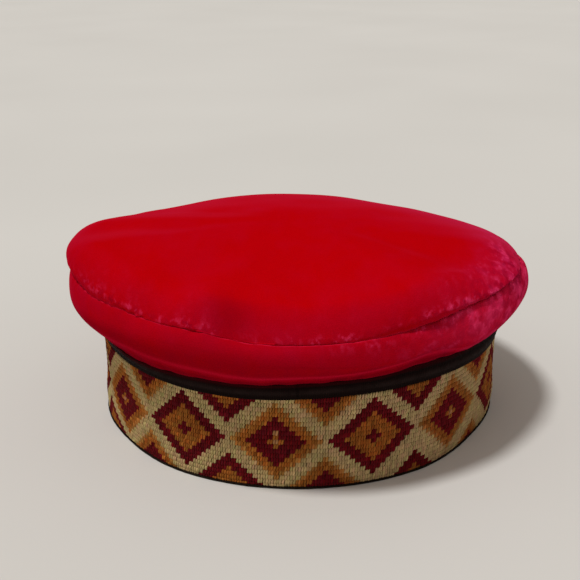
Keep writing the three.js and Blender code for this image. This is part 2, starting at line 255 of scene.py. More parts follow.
def attr_node(nt, name):
    node = nt.nodes.new("ShaderNodeAttribute")
    node.attribute_name = name
    return node


def math_node(nt, op, a, b=None, clamp=False):
    node = nt.nodes.new("ShaderNodeMath")
    node.operation = op
    node.use_clamp = clamp
    for i, v in enumerate((a, b)):
        if v is None:
            continue
        if isinstance(v, (int, float)):
            node.inputs[i].default_value = v
        else:
            link(nt, v, node.inputs[i])
    return node.outputs[0]


def mix_colour(nt, fac, a, b, blend="MIX"):
    node = nt.nodes.new("ShaderNodeMix")
    node.data_type = "RGBA"
    node.blend_type = blend
    node.clamp_factor = True
    for sock, v in ((node.inputs["Factor"], fac), (node.inputs[6], a), (node.inputs[7], b)):
        if isinstance(v, (int, float)):
            sock.default_value = v
        elif isinstance(v, tuple):
            sock.default_value = (*v, 1)
        else:
            link(nt, v, sock)
    return node.outputs[2]


def noise(nt, vec, scale, detail=2.0, rough=0.5, dist=0.0):
    node = nt.nodes.new("ShaderNodeTexNoise")
    node.inputs["Scale"].default_value = scale
    node.inputs["Detail"].default_value = detail
    node.inputs["Roughness"].default_value = rough
    node.inputs["Distortion"].default_value = dist
    link(nt, vec, node.inputs["Vector"])
    return node.outputs["Fac"]


def remap(nt, v, a, b, c=0.0, d=1.0):
    node = nt.nodes.new("ShaderNodeMapRange")
    node.interpolation_type = "SMOOTHSTEP"
    node.inputs["From Min"].default_value = a
    node.inputs["From Max"].default_value = b
    node.inputs["To Min"].default_value = c
    node.inputs["To Max"].default_value = d
    link(nt, v, node.inputs["Value"])
    return node.outputs["Result"]


def bump(nt, height, distance, strength=1.0, normal=None):
    node = nt.nodes.new("ShaderNodeBump")
    node.inputs["Strength"].default_value = strength
    node.inputs["Distance"].default_value = distance
    link(nt, height, node.inputs["Height"])
    if normal is not None:
        link(nt, normal, node.inputs["Normal"])
    return node.outputs["Normal"]


def velvet_material(name):
    """Cut-pile velvet: saturated red; the nap's crimson-magenta lean and the pale pink of crushed pile are painted
    sheen, with painted highlights and painted shade laid on by masks.
    """
    mat, nt, sh = principled(name)
    co = nt.nodes.new("ShaderNodeTexCoord").outputs["Object"]
    magenta_sheen = attr_node(nt, "magenta_sheen").outputs["Fac"]
    glint = attr_node(nt, "glint").outputs["Fac"]
    shade = attr_node(nt, "shade").outputs["Fac"]
    lift = attr_node(nt, "lift").outputs["Fac"]
    drawn = nt.nodes.new("ShaderNodeMapping")
    drawn.inputs["Scale"].default_value = (1.0, 0.45, 0.9)
    link(nt, co, drawn.inputs["Vector"])
    broad = noise(nt, co, 32, 2, 0.5)
    medium = noise(nt, drawn.outputs[0], 150, 2, 0.5)
    fine = noise(nt, drawn.outputs[0], 340, 1.5, 0.5)
    fleck = noise(nt, drawn.outputs[0], 640, 1.0, 0.5)
    pile = noise(nt, co, 2800, 2, 0.6)

    # the nap's lean from red to crimson, and a painted crimson-magenta sheen where the magenta mask is high
    loose = math_node(nt, "MULTIPLY", math_node(nt, "SUBTRACT", medium, 0.5), math_node(nt, "ADD", math_node(nt, "MULTIPLY", magenta_sheen, 1.3), 0.17))
    lean = math_node(nt, "ADD", math_node(nt, "MULTIPLY", remap(nt, broad, 0.38, 0.66), 0.08), math_node(nt, "MULTIPLY", magenta_sheen, 0.95))
    lean = math_node(nt, "ADD", lean, loose, clamp=True)
    facing = nt.nodes.new("ShaderNodeLayerWeight")
    facing.inputs["Blend"].default_value = 0.5
    across = remap(nt, facing.outputs["Facing"], 0.02, 0.40)
    into = mix_colour(nt, lean, (0.405, 0.0003, 0.0048), (0.41, 0.0050, 0.039))
    over = mix_colour(nt, lean, (0.472, 0.0001, 0.0024), (0.44, 0.0050, 0.042))
    colour = mix_colour(nt, across, into, over)
    # painted sheen of crushed pile: pale pink flecks and blotches, and darker flecks, where the glint mask is high
    spots = math_node(nt, "ADD", math_node(nt, "MULTIPLY", remap(nt, fine, 0.51, 0.66), 0.62), math_node(nt, "MULTIPLY", remap(nt, fleck, 0.55, 0.68), 0.62))
    mottle = math_node(nt, "MULTIPLY", spots, remap(nt, medium, 0.36, 0.62, 0.15, 1.0))
    pale = math_node(nt, "MULTIPLY", mottle, glint, clamp=True)
    blotch = math_node(nt, "MULTIPLY", remap(nt, medium, 0.47, 0.62), math_node(nt, "MULTIPLY", magenta_sheen, 1.0), clamp=True)
    colour = mix_colour(nt, math_node(nt, "MULTIPLY", blotch, glint), colour, (0.60, 0.020, 0.105))
    colour = mix_colour(nt, pale, colour, (0.84, 0.045, 0.165))
    dark_sheen_flecks = math_node(nt, "MULTIPLY", remap(nt, fine, 0.50, 0.34), math_node(nt, "MULTIPLY", glint, 0.55), clamp=True)
    colour = mix_colour(nt, dark_sheen_flecks, colour, (0.20, 0.0010, 0.0160))
    # painted light: the lift mask lightens the hem's edge, the seam's slit against its own shade, and the right of the
    # side panel
    colour = mix_colour(nt, math_node(nt, "MULTIPLY", lift, 0.7), colour, (0.95, 0.018, 0.078))
    # a pink rim sheen at grazing angles, painted stronger where the magenta mask is high
    glow = math_node(nt, "MULTIPLY", remap(nt, facing.outputs["Facing"], 0.72, 0.99), math_node(nt, "ADD", math_node(nt, "MULTIPLY", magenta_sheen, 0.40), 0.22), clamp=True)
    colour = mix_colour(nt, glow, colour, (0.62, 0.030, 0.105))
    # painted shade where the shade mask asks, softly broken up, and the pile's own grain
    dark = math_node(nt, "MULTIPLY", shade, remap(nt, medium, 0.25, 0.75, 0.75, 1.0), clamp=True)
    colour = mix_colour(nt, dark, colour, (0.17, 0.0002, 0.0060))
    grain = remap(nt, pile, 0.3, 0.7, 0.90, 1.07)
    grainc = nt.nodes.new("ShaderNodeVectorMath")
    grainc.operation = "SCALE"
    link(nt, colour, grainc.inputs[0])
    link(nt, grain, grainc.inputs["Scale"])
    link(nt, grainc.outputs[0], sh.inputs["Base Color"])
    link(nt, remap(nt, fine, 0.3, 0.7, 0.82, 0.95), sh.inputs["Roughness"])
    sh.inputs["Specular IOR Level"].default_value = 0.0
    sh.inputs["Sheen Weight"].default_value = 0.12
    sh.inputs["Sheen Roughness"].default_value = 0.35
    sh.inputs["Sheen Tint"].default_value = (1.0, 0.006, 0.055, 1)
    crush = math_node(nt, "ADD", math_node(nt, "MULTIPLY", fine, 1.0), math_node(nt, "MULTIPLY", fleck, 0.5))
    crush = math_node(nt, "MULTIPLY", crush, math_node(nt, "ADD", math_node(nt, "MULTIPLY", glint, 0.9), 0.08))
    n1 = bump(nt, crush, 0.0011, 0.7)
    n2 = bump(nt, pile, 0.00020, 0.8, n1)
    link(nt, n2, sh.inputs["Normal"])
    return mat


def backing_material(name, a, b, scale=900):
    """The plain knitted or woven back of a cloth: crossing threads by two sets of waves."""
    mat, nt, sh = principled(name)
    co = nt.nodes.new("ShaderNodeTexCoord").outputs["Object"]
    around = attr_node(nt, "around").outputs["Fac"]
    up = attr_node(nt, "up").outputs["Fac"]
    wa = math_node(nt, "SINE", math_node(nt, "MULTIPLY", around, 2 * math.pi * scale))
    wb = math_node(nt, "SINE", math_node(nt, "MULTIPLY", up, 2 * math.pi * scale))
    weave = math_node(nt, "MULTIPLY", wa, wb)
    weave = math_node(nt, "ADD", math_node(nt, "MULTIPLY", weave, 0.5), 0.5)
    patch = noise(nt, co, 60, 3, 0.6)
    fuzz = noise(nt, co, 1500, 2, 0.6)
    fac = math_node(nt, "ADD", math_node(nt, "MULTIPLY", weave, 0.5), math_node(nt, "MULTIPLY", patch, 0.5), clamp=True)
    link(nt, mix_colour(nt, fac, a, b), sh.inputs["Base Color"])
    link(nt, remap(nt, fuzz, 0.3, 0.7, 0.80, 0.95), sh.inputs["Roughness"])
    sh.inputs["Specular IOR Level"].default_value = 0.15
    sh.inputs["Sheen Weight"].default_value = 0.15
    height = math_node(nt, "ADD", math_node(nt, "MULTIPLY", weave, 0.7), math_node(nt, "MULTIPLY", fuzz, 0.5))
    link(nt, bump(nt, height, 0.0003, 0.7), sh.inputs["Normal"])
    return mat


def yarn_material(name):
    """Wool yarn of the cross stitches: the colour comes with each stitch, the twist of the plies runs along it."""
    mat, nt, sh = principled(name)
    co = nt.nodes.new("ShaderNodeTexCoord").outputs["Object"]
    base = nt.nodes.new("ShaderNodeAttribute")
    base.attribute_name = "yarn"
    along = attr_node(nt, "along").outputs["Fac"]
    about = attr_node(nt, "about").outputs["Fac"]
    twist = math_node(nt, "SINE", math_node(nt, "ADD", math_node(nt, "MULTIPLY", along, 2 * math.pi * 1500), math_node(nt, "MULTIPLY", about, 2 * math.pi * 2)))
    twist = math_node(nt, "ADD", math_node(nt, "MULTIPLY", twist, 0.5), 0.5)
    fuzz = noise(nt, co, 3200, 3, 0.65)
    patch = noise(nt, co, 90, 2, 0.5)
    tone = math_node(nt, "ADD", math_node(nt, "MULTIPLY", twist, 0.22), math_node(nt, "MULTIPLY", fuzz, 0.30))
    tone = math_node(nt, "ADD", tone, math_node(nt, "MULTIPLY", patch, 0.22))
    tone = math_node(nt, "ADD", tone, 0.62)
    sc = nt.nodes.new("ShaderNodeVectorMath")
    sc.operation = "SCALE"
    link(nt, base.outputs["Color"], sc.inputs[0])
    link(nt, tone, sc.inputs["Scale"])
    link(nt, sc.outputs[0], sh.inputs["Base Color"])
    link(nt, remap(nt, fuzz, 0.3, 0.7, 0.72, 0.92), sh.inputs["Roughness"])
    sh.inputs["Specular IOR Level"].default_value = 0.02
    sh.inputs["Sheen Weight"].default_value = 0.03
    sh.inputs["Sheen Roughness"].default_value = 0.5
    sh.inputs["Sheen Tint"].default_value = (1.0, 0.80, 0.55, 1)
    h = math_node(nt, "ADD", math_node(nt, "MULTIPLY", twist, 0.7), math_node(nt, "MULTIPLY", fuzz, 0.5))
    link(nt, bump(nt, h, 0.00018, 0.8), sh.inputs["Normal"])
    return mat


def ribbed_material(name, dark, light, ribs_per_m, sheen=0.4, tint=(0.8, 0.9, 0.85, 1)):
    """Black ribbon or binding tape: fine cross ribs, with a painted highlight where it stands proud and painted red
    bounce light from the crown along the ribbon's top.
    """
    mat, nt, sh = principled(name)
    co = nt.nodes.new("ShaderNodeTexCoord").outputs["Object"]
    around = attr_node(nt, "around").outputs["Fac"]
    proud = attr_node(nt, "proud").outputs["Fac"]
    rib = math_node(nt, "SINE", math_node(nt, "MULTIPLY", around, 2 * math.pi * ribs_per_m))
    rib = math_node(nt, "ADD", math_node(nt, "MULTIPLY", rib, 0.5), 0.5)
    fuzz = noise(nt, co, 1800, 3, 0.6)
    patch = noise(nt, co, 140, 3, 0.6)
    red_bounce_light = attr_node(nt, "red_bounce_light").outputs["Fac"]
    # painted highlight where the ribbon or tape stands proud
    ridge_highlight = math_node(nt, "MULTIPLY", proud, remap(nt, patch, 0.30, 0.65, 0.45, 1.0))
    fac = math_node(nt, "ADD", math_node(nt, "MULTIPLY", ridge_highlight, 0.8), math_node(nt, "MULTIPLY", math_node(nt, "MULTIPLY", rib, fuzz), 0.25), clamp=True)
    # painted red bounce light from the crown on the ribbon's top
    link(nt, mix_colour(nt, red_bounce_light, mix_colour(nt, fac, dark, light), (0.045, 0.0012, 0.0030)), sh.inputs["Base Color"])
    link(nt, remap(nt, fuzz, 0.3, 0.7, 0.60, 0.85), sh.inputs["Roughness"])
    sh.inputs["Specular IOR Level"].default_value = 0.03
    sh.inputs["Sheen Weight"].default_value = sheen
    sh.inputs["Sheen Roughness"].default_value = 0.4
    sh.inputs["Sheen Tint"].default_value = tint
    h = math_node(nt, "ADD", math_node(nt, "MULTIPLY", rib, 0.6), math_node(nt, "MULTIPLY", fuzz, 0.6))
    link(nt, bump(nt, h, 0.0002, 0.8), sh.inputs["Normal"])
    return mat


def floor_material():
    mat, nt, sh = principled("pale_floor")
    co = nt.nodes.new("ShaderNodeTexCoord").outputs["Object"]
    soft = noise(nt, co, 3.0, 2, 0.5)
    link(nt, mix_colour(nt, soft, (0.60, 0.585, 0.56), (0.66, 0.645, 0.62)), sh.inputs["Base Color"])
    sh.inputs["Roughness"].default_value = 0.9
    sh.inputs["Specular IOR Level"].default_value = 0.1
    return mat


# ---------------------------------------------------------------- the crown's two velvet panels

NAZ = 512
AZ = -90 + np.arange(NAZ) * 360.0 / NAZ


def dent_depth(x, y):
    total = np.zeros_like(x)
    for cx, cy, direction, long, wide, depth in DENTS:
        a = math.radians(direction)
        u = (x - cx) * math.cos(a) + (y - cy) * math.sin(a)
        v = -(x - cx) * math.sin(a) + (y - cy) * math.cos(a)
        total += depth * np.exp(-((u / long) ** 2) - (v / wide) ** 2)
    return total


def bezier(p0, p1, p2, p3, t):
    t = t[:, None]
    return (1 - t) ** 3 * p0 + 3 * (1 - t) ** 2 * t * p1 + 3 * (1 - t) * t**2 * p2 + t**3 * p3


# how strongly the seam puckers round the cap: tight at the right of the front, weak in the middle
PUCKER = 0.35 + 0.55 * bump1(AZ, -25, 45) + 0.30 * bump1(AZ, -150, 38) + 0.20 * bump1(AZ, -112, 16) + 0.20 * bump1(AZ, 120, 60)
seam_wander = 0.35 * ripple(AZ, 4, 14, 3) + 0.12 * ripple(AZ, 30, 60, 4)
tuck = ripple(AZ, 70, 150, 5)
tuck2 = ripple(AZ, 70, 150, 6)
wave_top = ripple(AZ, 9, 30, 7)
wave_side = ripple(AZ, 9, 34, 8)


WALL = 1.8


def side_profile(inset, counts):
    """Rows of the side panel's skin from the hem to the end of the seam allowance: radius, height and place along it."""
    hemZ, lipZ, bellyR, bellyZ, seamR, seamZ, rimR, rimZ, rise, full, lean = crown_at(AZ)
    one = np.ones(NAZ)
    hz, br, lz = hemZ + inset, bellyR - inset, lipZ + inset
    sr, sz = seamR - 0.6 * inset, seamZ - inset
    R, Z, S = [], [], []
    # the hem, tucked in over the band's top edge
    for t in np.linspace(0, 1, counts[0])[:-1]:
        R.append((HEM_IN + (HEM_R - HEM_IN) * t) * one)
        Z.append(hz)
        S.append(-1 + t)
    bz0 = np.stack([HEM_R * one, hz])
    bz1 = np.stack([HEM_R + 0.75 * (br - HEM_R), lz])
    bz2 = np.stack([br, bellyZ - 0.5 * (bellyZ - lz)])
    bz3 = np.stack([br, bellyZ])
    for tt in np.linspace(0, 1, counts[1]):
        p = (1 - tt) ** 3 * bz0 + 3 * (1 - tt) ** 2 * tt * bz1 + 3 * (1 - tt) * tt**2 * bz2 + tt**3 * bz3
        R.append(p[0])
        Z.append(p[1])
        S.append(tt)
    for tt in np.linspace(0, 1, counts[2])[1:]:
        a = tt * math.pi / 2
        R.append(sr + (br - sr) * max(math.cos(a), 0.0) ** full)
        Z.append(bellyZ + (sz - bellyZ) * math.sin(a) ** full)
        S.append(1 + tt)
    for tt in np.linspace(0, 1, counts[3])[1:]:
        R.append(sr + (seamR - ALLOWANCE - sr) * tt)
        Z.append(sz - 0.3 * tt * tt)
        S.append(2 + tt)
    return np.array(R), np.array(Z), np.array(S)


def build_side():
    R, Z, S = side_profile(0.0, (5, 26, 22, 6))
    s = S[:, None]
    near_seam = np.exp(-(((s - 2.0) / 0.42) ** 2))
    # the roll of cloth: long soft waves on the belly, short tucks at the seam and at the hem
    d = 0.20 * wave_side[None] * np.exp(-(((s - 1.0) / 0.6) ** 2))
    d = d + 0.55 * (PUCKER * tuck)[None] * near_seam * smooth(0.9, 1.6, s) * (1 - smooth(2.0, 2.6, s))
    d = d + 0.22 * ripple(AZ, 40, 90, 9)[None] * np.exp(-(((s - 0.12) / 0.2) ** 2))
    R = R + d
    Z = Z + seam_wander[None] * smooth(1.2, 2.0, s) + 0.18 * ripple(AZ, 18, 60, 10)[None] * (1 - smooth(0.1, 0.5, s)) * smooth(-1, 0, s)
    # the back of the cloth
    Ri, Zi, Si = side_profile(WALL, (4, 14, 12, 5))
    Zi = Zi + seam_wander[None] * smooth(1.2, 2.0, Si[:, None])
    outer = len(S)
    R, Z, S = np.concatenate([R, Ri[::-1]]), np.concatenate([Z, Zi[::-1]]), np.concatenate([S, Si[::-1]])
    s = S[:, None]
    P = place(AZ[None, :], R, Z)
    m = len(S)
    q = strip_quads(m + 1, NAZ)
    q = np.where(q >= m * NAZ, q - m * NAZ, q)
    obj = make_object("crown_side", P.reshape(-1, 3), q)
    back = np.zeros(len(q), np.int32)
    back[outer * NAZ : (m - 1) * NAZ] = 1
    obj.data.polygons.foreach_set("material_index", back)
    a = np.broadcast_to(AZ[None], R.shape)
    right = bump1(a, -18, 62)
    left = bump1(a, -158, 26)
    hem = np.exp(-(((s - 0.36) / 0.08) ** 2))
    seam = np.exp(-(((s - 2.0) / 0.13) ** 2))
    marked = 0.08 + 0.85 * bump1(a, -28, 50) + 0.75 * bump1(a, -135, 36)
    # painted crimson-magenta sheen, strongest on the right limb
    magenta_sheen = 0.14 + 0.86 * right + 0.10 * left
    # painted glints of crushed pile on the right and in a row just under the seam
    glint = 1.15 * right * smooth(0.15, 0.7, s) + 0.35 * bump1(a, -62, 34) * smooth(1.2, 1.7, s)
    glint = glint + 0.35 * np.exp(-(((s - 1.90) / 0.10) ** 2)) * (0.2 + 0.8 * right)
    # painted light: the slit at the seam lightened against its shade, a painted highlight along the hem's edge, and
    # painted sheen on the right and right front
    slit = np.exp(-(((s - 2.0) / 0.07) ** 2))
    lift = 0.39 * hem * (0.45 + 0.55 * bump1(a, -92, 60)) + slit * (1 - 0.35 * np.clip(marked, 0, 1))
    lift = lift + (0.20 * bump1(a, -6, 28) + 0.42 * bump1(a, -42, 32)) * smooth(0.3, 0.9, s)
    # painted shade: darker low on the roll, at the seam line, in a belt just under the seam in front, a little over the
    # whole side, and deep under the hem's lip
    shade = 0.46 * (1 - smooth(0.35, 1.15, s)) * (1 - 0.6 * right) * (1 - 0.7 * hem) + 0.36 * marked * seam + 0.11 * (1 - right)
    shade = shade + 0.17 * bump1(a, -90, 52) * np.exp(-(((s - 1.84) / 0.15) ** 2))
    shade = np.maximum(shade, 0.9 * (1 - smooth(0.13, 0.30, s)))
    attribute(obj, "lift", np.clip(lift, 0, 1).ravel())
    attribute(obj, "magenta_sheen", np.clip(magenta_sheen, 0, 1).ravel())
    attribute(obj, "glint", np.clip(glint, 0, 1).ravel())
    attribute(obj, "shade", np.clip(shade, 0, 1).ravel())
    attribute(obj, "around", (np.radians(a) * 0.1).ravel())
    attribute(obj, "up", np.broadcast_to(s * 0.02, R.shape).ravel())
    return obj


def top_profile(inset, counts):
    """Rows of the top panel's skin from the seam allowance to the middle: radius, height and place along it."""
    hemZ, lipZ, bellyR, bellyZ, seamR, seamZ, rimR, rimZ, rise, full, lean = crown_at(AZ)
    z0 = seamZ + SEAM_GAP + inset
    rr, rz = rimR - inset, np.maximum(rimZ, z0 + 0.3)
    sr = np.minimum(seamR - 0.5 * inset, rr - 0.1)
    up, apex = rimZ + rise - inset - rz, DOME_Z - inset
    R, Z, S = [], [], []
    for tt in np.linspace(0, 1, counts[0])[:-1]:
        R.append(seamR - ALLOWANCE + (sr - seamR + ALLOWANCE) * tt)
        Z.append(z0 + 0.3 * (1 - tt) ** 2)
        S.append(-1 + tt)
    lobe = 1.5 - 0.5 * bump1(AZ, -172, 40)
    for tt in np.linspace(0, 1, counts[1]):
        a = tt * math.pi / 2
        R.append(sr + (rr - sr) * math.sin(a) ** lobe)
        Z.append(rz - (rz - z0) * max(math.cos(a), 0.0) ** lobe)
        S.append(tt)
    for uu in np.linspace(0, 1, counts[2])[1:-1]:
        # half of the rows round the shoulder, the rest cross the flat
        if uu < 0.5:
            b = lean + (math.pi / 2 - lean) * uu * 2
            x = SHOULDER * (np.cos(lean) - np.cos(b)) / np.cos(lean)
            e = (np.sin(b) - np.sin(lean)) / (1 - np.sin(lean))
        else:
            x, e = SHOULDER + (uu - 0.5) * 2 * (rr - SHOULDER), 1.0
        rho = 1 - x / rr
        R.append(rr * rho)
        Z.append(rz + up * e + (apex - rz - up) * (1 - rho**2))
        S.append(1 + uu)
    return np.array(R), np.array(Z), np.array(S)


def top_skin(inset, counts):
    """Points and fields of one skin of the top panel."""
    rimR = crown_at(AZ)[6]
    R, Z, S = top_profile(inset, counts)
    s = S[:, None]
    a = np.broadcast_to(AZ[None], R.shape)
    rho = np.where(s > 1, R / (rimR - inset)[None], 1.0)
    # tucks just above the seam, a soft wavering rim
    d = 0.70 * (PUCKER * tuck2)[None] * np.exp(-(((s - 0.35) / 0.42) ** 2)) * smooth(-0.2, 0.1, s)
    d = d + 0.15 * wave_top[None] * np.exp(-(((s - 1.0) / 0.35) ** 2))
    R2 = R + (d if inset == 0 else 0)
    Z2 = Z + seam_wander[None] * (1 - smooth(0.0, 0.9, s))
    x, y = R * np.cos(np.radians(a)), R * np.sin(np.radians(a))
    Z2 = Z2 - np.where(s > 0.9, dent_depth(x, y), 0) * smooth(0.9, 1.1, s)
    # low uneven swell of the flat, as stuffed cloth has
    swell = 0.0
    r = np.random.default_rng(31)
    for _ in range(16):
        k = r.uniform(0.02, 0.085)
        th = r.uniform(0, 2 * np.pi)
        swell = swell + np.sin(k * (x * math.cos(th) + y * math.sin(th)) * 2 * math.pi / 2.2 + r.uniform(0, 6.28)) * r.uniform(0.3, 1)
    Z2 = Z2 + 0.06 * swell * smooth(0.99, 0.85, rho)
    return place(AZ[None, :], R2, Z2), R, S, a, rho, x, y


def build_top():
    P, R, S, a, rho, x, y = top_skin(0.0, (6, 17, 64))
    s = S[:, None]
    # rings thin out towards the middle of the top
    verts, faces, base = [], [], 0

    def lay(P, R, inner):
        """Add one skin's rings and the faces between them; gives the first ring's numbers."""
        nonlocal base
        prev, n_prev, first, kept = None, None, None, []

        def face(*f):
            faces.append(tuple(int(i) for i in (f[::-1] if inner else f)))

        for i in range(len(P)):
            rr = float(R[i].mean())
            n = NAZ
            while n > 16 and 2 * math.pi * rr / n < 0.62:
                n //= 2
            if prev is not None and n < n_prev // 2:
                n = n_prev // 2
            idx = np.arange(0, NAZ, NAZ // n)
            verts.append(P[i, idx])
            kept.append((i, idx))
            cur = base + np.arange(n)
            if prev is None:
                first = cur
            elif n == n_prev:
                k = (np.arange(n) + 1) % n
                for f in zip(prev, prev[k], cur[k], cur):
                    face(*f)
            else:
                for j in range(n):
                    a0, a1, a2 = prev[2 * j], prev[2 * j + 1], prev[(2 * j + 2) % n_prev]
                    b0, b1 = cur[j], cur[(j + 1) % n]
                    face(a0, a1, b0)
                    face(a1, b1, b0)
                    face(a1, a2, b1)
            prev, n_prev, base = cur, n, base + n
        verts.append(np.array([[AX * 0.001, AY * 0.001, float(P[-1, :, 2].mean()) + 0.00001]]))
        for j in range(n_prev):
            face(prev[j], prev[(j + 1) % n_prev], base)
        base += 1
        return first, kept

    first, keep = lay(P, R, False)
    f_out = len(faces)
    Pi, Ri = top_skin(WALL, (5, 8, 30))[:2]
    first_in, _ = lay(Pi, Ri, True)
    f_in = len(faces)
    for j in range(NAZ):
        k = (j + 1) % NAZ
        faces.append((int(first_in[j]), int(first_in[k]), int(first[k]), int(first[j])))
    obj = make_object("crown_top", np.concatenate(verts), faces)
    back = np.zeros(len(faces), np.int32)
    back[f_out:f_in] = 1
    obj.data.polygons.foreach_set("material_index", back)

    def pick(field):
        out = [field[i, idx] for i, idx in keep]
        out = np.concatenate(out + [[float(field[-1].mean())]])
        return np.concatenate([out, np.zeros(base - len(out))])

    right = bump1(a, -10, 58)
    rim = smooth(0.72, 1.0, rho)
    # painted glints of crushed pile in a row just above the seam, over the right of the top and near the back rim
    seam_amp = 0.10 + 0.75 * bump1(a, -28, 52) + 0.50 * bump1(a, -138, 24) + 0.55 * bump1(a, -115, 8) + 0.45 * bump1(a, -84, 12) + 0.3 * bump1(a, 110, 70)
    above = np.exp(-(((s - 1.035) / 0.045) ** 2)) + 0.4 * np.exp(-(((s - 0.7) / 0.4) ** 2))
    wide = smooth(0.80, 0.99, rho)
    # painted crimson-magenta sheen at the right and far rim and round the back
    magenta_sheen = 0.85 * right * rim + 0.12 * smooth(0.85, 1.0, rho) + 0.45 * bump1(a, 40, 60) * smooth(0.45, 0.95, rho)
    glint = 0.95 * seam_amp * above + 0.80 * bump1(a, -14, 44) * wide + 0.55 * bump1(a, 52, 50) * np.exp(-(((rho - 0.93) / 0.05) ** 2))
    marked = 0.08 + 0.85 * bump1(a, -28, 50) + 0.75 * bump1(a, -135, 36)
    # painted light lifting the seam's crease out of its shade
    lift = np.exp(-((s / 0.30) ** 2)) * (1 - 0.35 * np.clip(marked, 0, 1))
    attribute(obj, "lift", np.clip(pick(lift + 0 * R), 0, 1))
    # painted shade: the dent's dark patch, the front just above the seam, the seam line and the left lobe's rim
    shade = 0.44 * np.exp(-(((x + 26) / 8) ** 2) - ((y + 92) / 6.5) ** 2) + 0.13 * bump1(a, -80, 34) * np.exp(-(((s - 0.55) / 0.35) ** 2)) + 0.40 * marked * np.exp(-((s / 0.8) ** 2)) + 0.12 * bump1(a, -170, 36) * smooth(0.75, 1.0, rho)
    attribute(obj, "magenta_sheen", np.clip(pick(magenta_sheen + 0 * R), 0, 1))
    attribute(obj, "glint", np.clip(pick(glint + 0 * R), 0, 1))
    attribute(obj, "shade", np.clip(pick(shade + 0 * R), 0, 1))
    attribute(obj, "around", pick(x * 0.001))
    attribute(obj, "up", pick(y * 0.001))
    return obj


velvet = velvet_material("red_velvet")
velvet_back = backing_material("velvet_reverse", (0.085, 0.004, 0.010), (0.16, 0.008, 0.020), 1100)

side = build_side()
top = build_top()
for o in (side, top):
    o.data.materials.append(velvet)
    o.data.materials.append(velvet_back)
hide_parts("side_panel")
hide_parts("top_panel")

# ---------------------------------------------------------------- the cross-stitch band

CANVAS_IN = 0.62  # the canvas lies this far under the band's outer face
PZ = 2.065
ROW0_Z = 21.53
PERIOD_ROWS = 18
COLS = 252
FRONT_STEP = math.degrees(40.60 / 18 / 93)  # degrees a column where the stitching is even
COL0_AZ = -90 + math.degrees(30.91 / 93)


def band_radius(z):
    return np.interp(z, [0, 40.8, 50], [92, 93, 93.3])


def col_to_az(c):
    """Columns to azimuths: even over the front, a little wider round the back, closing exactly at 252."""
    # the front half spans az -187..7, the back takes the rest
    c = np.asarray(c, float)
    extra = 360.0 - COLS * FRONT_STEP
    c0 = (7 - COL0_AZ) / FRONT_STEP
    c1 = c0 + COLS - (7 + 187) / FRONT_STEP
    cc = (c - c0) % COLS
    span = c1 - c0
    t = np.clip(cc / span, 0, 1)
    grow = extra * (t - np.sin(2 * np.pi * t) / (2 * np.pi))
    return 7 + cc * FRONT_STEP + grow


def stitch_colour(c, r):
    """The chart: 0 cream, 1 gold, 2 maroon, 3 peach. Diamonds of 17 stitches, with half diamonds between them above and below."""
    k = round(c / 18)
    d = abs(c - 18 * k) + abs(r)
    owner = k
    if d > 8:
        h = math.floor(c / 18)
        centre = 18 * h + 9
        below = 14 if h in (0, 1) else 12
        d = abs(c - centre) + min(abs(r - 12), abs(r + below))
        owner = h
        if d > 8:
            return 0
    maroon_outside = owner % 2 == 0
    if d >= 6:
        return 2 if maroon_outside else 1
    if d >= 2:
        return 1 if maroon_outside else 2
    return 2 if maroon_outside else (3 if d == 0 else 1)


def bleed(c, r):
    """How much mustard shows in a cream or gold stitch where a gold ring meets the cream ground."""
    h = math.floor(c / 18)
    k = round(c / 18)
    below = 14 if h in (0, 1) else 12
    full, half = abs(c - 18 * k) + abs(r), abs(c - 18 * h - 9) + min(abs(r - 12), abs(r + below))
    d, owner = (full, k) if full <= half else (half, h)
    if owner % 2 == 0:
        return 0.0
    return {8: 0.24, 9: 0.15}.get(d, 0.0)


YARN = [
    (0.500, 0.378, 0.175),
    (0.340, 0.101, 0.0155),
    (0.135, 0.0050, 0.0095),
    (0.46, 0.20, 0.090),
]
MUSTARD = [(0.42, 0.195, 0.030), (0.50, 0.285, 0.080), YARN[2], YARN[3]]
# for each wool: how far single strands differ in depth, then in red, green and blue
DRIFT = [
    (0.07, 0.035, -0.035, 0.030),
    (0.15, -0.030, 0.070, 0.080),
    (0.14, -0.030, 0.080, 0.120),
    (0.10, 0.040, -0.060, 0.060),
]


# how the cream and gold change round the band, partly the wool's dye and partly painted light and shade, lighter at the
# left front and darker to the right: azimuth, then cream's and gold's red, green and blue
DYE_AND_LIGHT = np.array([
    [-190, 1.00, 1.00, 1.00, 1.00, 1.00, 1.00],
    [-150, 1.03, 1.01, 1.00, 1.08, 1.15, 1.30],
    [-95, 1.05, 1.00, 1.00, 1.10, 1.20, 1.35],
    [-70, 1.00, 0.93, 0.98, 0.95, 0.94, 1.15],
    [-45, 0.90, 0.82, 0.87, 0.93, 0.98, 1.30],
    [-15, 0.87, 0.80, 0.80, 0.90, 0.96, 1.15],
    [50, 1.00, 1.00, 1.00, 1.00, 1.00, 1.00],
    [170, 1.00, 1.00, 1.00, 1.00, 1.00, 1.00],
])


def dye_and_light(k, az):
    """Red, green and blue factors of wool k at each azimuth: partly dye, partly painted light and shade."""
    if k > 1:
        return np.ones((len(az), 3))
    a = (np.asarray(az) + 190) % 360 - 190
    return np.stack([np.interp(a, DYE_AND_LIGHT[:, 0], DYE_AND_LIGHT[:, 1 + 3 * k + c]) for c in range(3)], -1)


